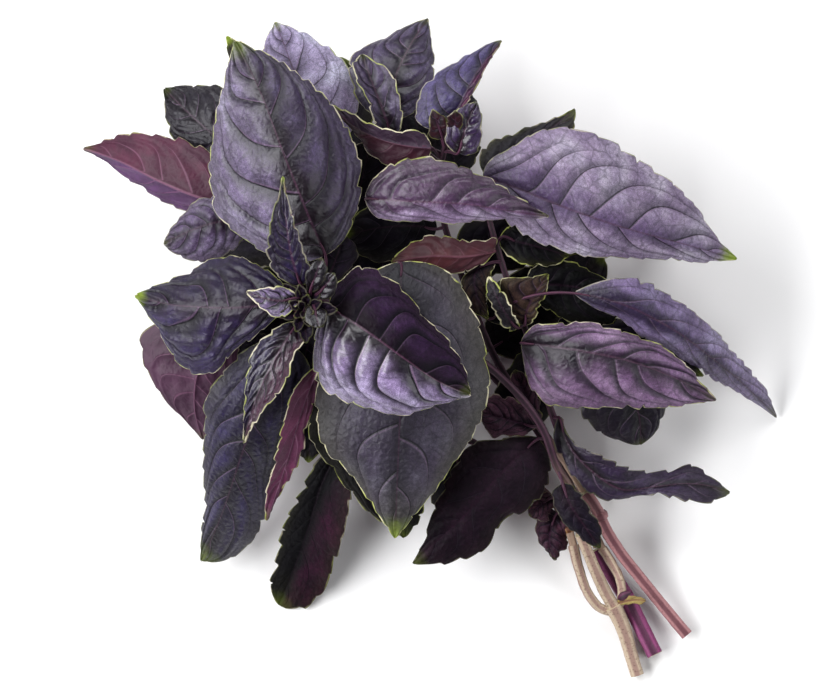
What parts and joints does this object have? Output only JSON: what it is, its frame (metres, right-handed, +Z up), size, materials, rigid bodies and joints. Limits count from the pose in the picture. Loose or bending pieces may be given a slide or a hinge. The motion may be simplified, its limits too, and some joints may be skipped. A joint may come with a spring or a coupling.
{
  "type": "purple basil bunch",
  "caption": "Cut bunch of dark purple basil lying on its side, with leafy shoots on woody stems, for kitchen and market scenes.",
  "frame": {"origin": "middle of the bunch's footprint, at the height of the surface that it lies on", "axes": "+Z up from the surface, towards the camera of the reference view; +X towards the right-hand leaf tip, along the bunch's longest side; +Y away from the cut stem ends"},
  "size_m": [0.2324, 0.2205, 0.0966],
  "materials": {
    "purple_leaf_glossy": "glossy living leaf, dark purple with a bluish sheen",
    "purple_leaf_violet": "satin living leaf, violet purple",
    "purple_leaf_mauve": "satin living leaf, mauve purple with olive tips",
    "purple_leaf_dark": "dull living leaf, very dark purple",
    "purple_leaf_slate": "satin living leaf, slate purple with magenta underside",
    "pale_bark": "dry pale tan stem skin",
    "magenta_skin": "smooth ridged magenta stem skin",
    "pink_skin": "smooth dusty pink stem skin"
  },
  "bodies": {
    "root": {"front_shoot": "purple_leaf_glossy", "top_shoot": "purple_leaf_violet", "right_shoot": "purple_leaf_mauve", "left_shoot": "purple_leaf_dark", "back_shoot": "purple_leaf_slate", "pale_stem": "pale_bark", "magenta_stem": "magenta_skin", "pink_stem": "pink_skin"}
  },
  "joints": []
}
